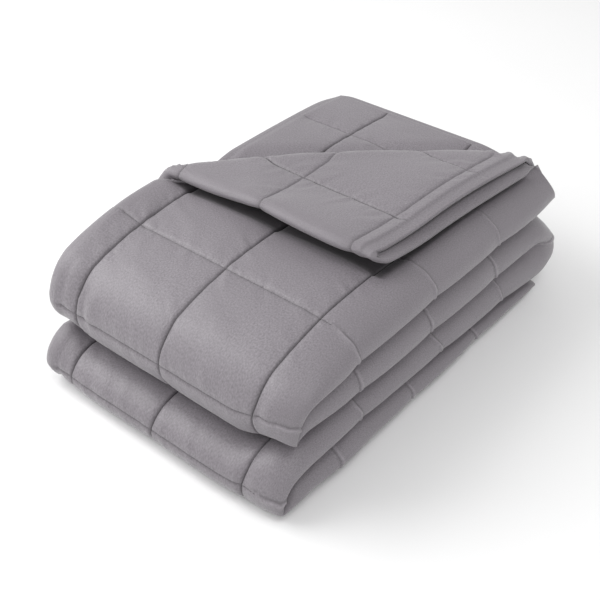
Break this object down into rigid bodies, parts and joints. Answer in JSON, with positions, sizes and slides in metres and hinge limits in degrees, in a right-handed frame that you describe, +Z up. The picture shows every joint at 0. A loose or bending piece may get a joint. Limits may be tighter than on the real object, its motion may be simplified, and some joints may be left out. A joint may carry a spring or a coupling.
{
  "type": "folded weighted blanket",
  "caption": "Quilted weighted blanket folded into a flat stack, with one corner of the top turned back over a diagonal crest to show the hems.",
  "frame": {"origin": "centre of the bounding box at the height of the surface that the blanket lies on", "axes": "+Z up; +Y along the folded strips, away from the two near folds; +X towards the rounded lengthwise fold"},
  "size_m": [0.3328, 0.5073, 0.1845],
  "materials": {
    "grey_cotton": "matte woven cotton with a slight sheen, warm mid grey"
  },
  "bodies": {
    "root": {"blanket": "grey_cotton"}
  },
  "joints": []
}
